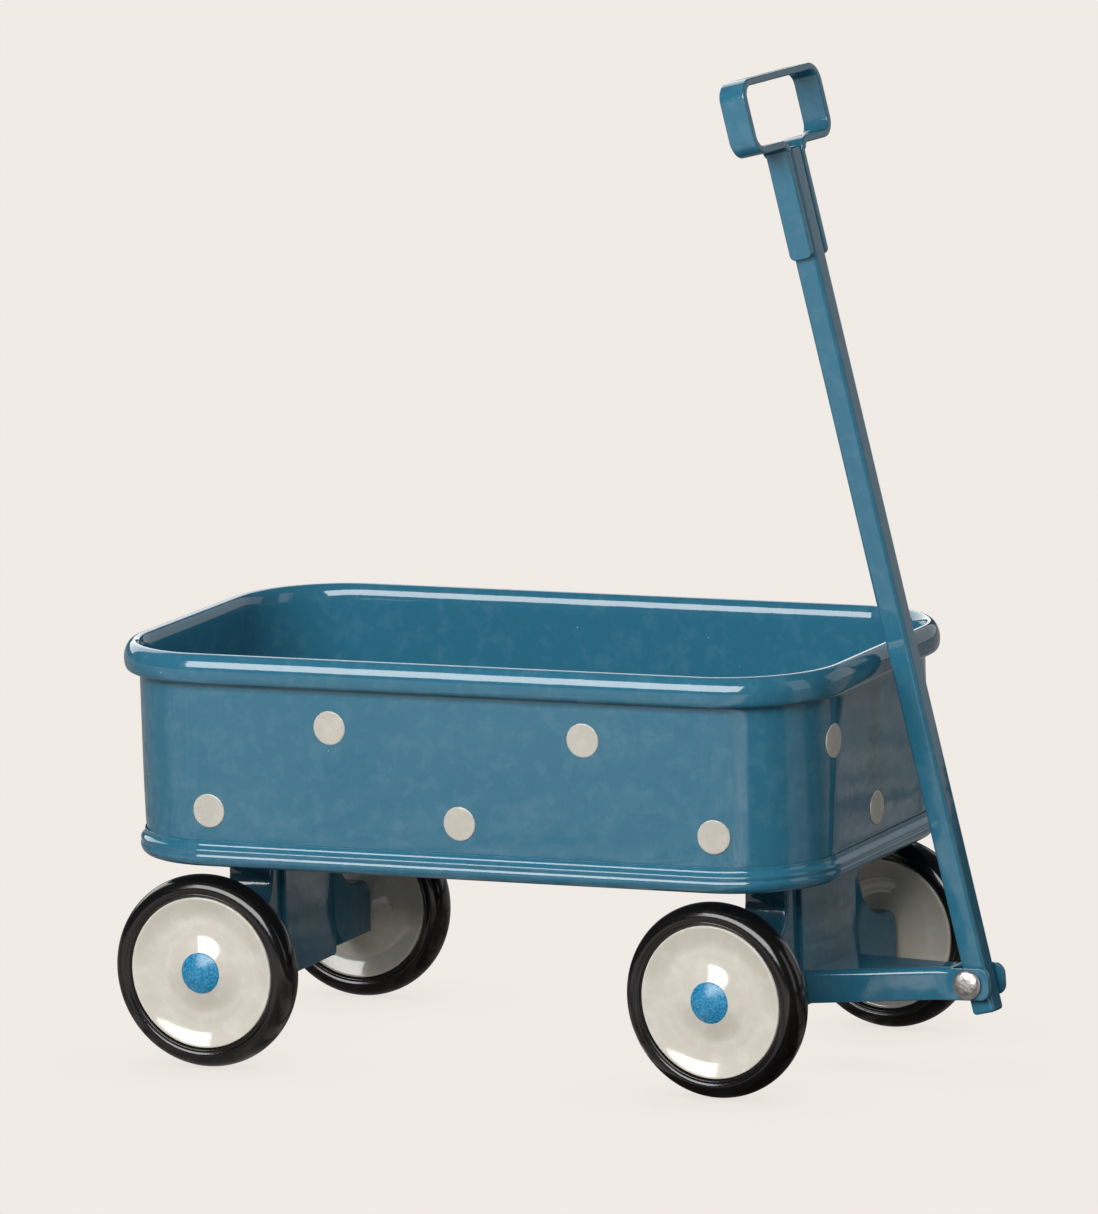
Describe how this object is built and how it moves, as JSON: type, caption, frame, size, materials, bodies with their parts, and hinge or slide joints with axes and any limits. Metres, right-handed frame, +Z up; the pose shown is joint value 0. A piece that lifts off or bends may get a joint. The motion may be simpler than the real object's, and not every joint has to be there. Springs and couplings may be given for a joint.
{
  "type": "dolls'-house pull wagon",
  "caption": "Miniature enamelled sheet metal pull wagon: a rounded open tub on a fixed rear axle and a steered front axle, with a hinged pull handle.",
  "frame": {"origin": "on the ground, under the middle of the bounding box of the whole wagon", "axes": "+X towards the steered end with the handle, +Y towards the wagon's left side, +Z up"},
  "size_m": [0.132, 0.066, 0.1472],
  "materials": {
    "blue_enamel": "glossy baked enamel",
    "cream_enamel": "glossy baked enamel",
    "tyre_black": "glossy black",
    "bare_steel": "hammered rivet steel"
  },
  "bodies": {
    "root": {"tub_wall": "blue_enamel", "tub_floor": "blue_enamel", "kingpin": "bare_steel", "rear_bracket": "blue_enamel", "rear_bracket_face_plate": "blue_enamel", "rear_bracket_rivets": "bare_steel", "rear_axle": "bare_steel", "rear_axle_washers": "bare_steel", "rear_push_nuts": "bare_steel"},
    "front_truck": {"front_bracket": "blue_enamel", "front_bracket_face_plate": "blue_enamel", "kingpin_washer": "bare_steel", "front_axle": "bare_steel", "front_axle_washers": "bare_steel", "front_push_nuts": "bare_steel", "tongue": "blue_enamel", "pivot_rivet": "bare_steel"},
    "handle": {"handle_shaft": "blue_enamel", "handle_grip": "blue_enamel"},
    "rear_right_wheel": {"rear_right_tyre": "tyre_black", "rear_right_wheel_cover": "cream_enamel", "rear_right_wheel_back": "cream_enamel"},
    "rear_left_wheel": {"rear_left_tyre": "tyre_black", "rear_left_wheel_cover": "cream_enamel", "rear_left_wheel_back": "cream_enamel"},
    "front_right_wheel": {"front_right_tyre": "tyre_black", "front_right_wheel_cover": "cream_enamel", "front_right_wheel_back": "cream_enamel"},
    "front_left_wheel": {"front_left_tyre": "tyre_black", "front_left_wheel_cover": "cream_enamel", "front_left_wheel_back": "cream_enamel"}
  },
  "joints": [
    {"name": "steering", "type": "hinge", "parent": "root", "child": "front_truck", "pos_m": [0.03397, 0, 0.03006], "axis": [0, 0, 1], "range_deg": [-11.5, 21.5]},
    {"name": "handle_hinge", "type": "hinge", "parent": "front_truck", "child": "handle", "pos_m": [0.06226, -0.00248, 0.0141], "axis": [0.0872, 0.9962, 0], "range_deg": [0, 104]},
    {"name": "rear_right_wheel_spin", "type": "hinge", "parent": "root", "child": "rear_right_wheel", "pos_m": [-0.05053, -0.0271, 0.0145], "axis": [0, 1, 0], "continuous": true},
    {"name": "rear_left_wheel_spin", "type": "hinge", "parent": "root", "child": "rear_left_wheel", "pos_m": [-0.05053, 0.0271, 0.0145], "axis": [0, 1, 0], "continuous": true},
    {"name": "front_right_wheel_spin", "type": "hinge", "parent": "front_truck", "child": "front_right_wheel", "pos_m": [0.0316, -0.027, 0.0145], "axis": [0.0872, 0.9962, 0], "continuous": true},
    {"name": "front_left_wheel_spin", "type": "hinge", "parent": "front_truck", "child": "front_left_wheel", "pos_m": [0.03633, 0.027, 0.0145], "axis": [0.0872, 0.9962, 0], "continuous": true}
  ]
}
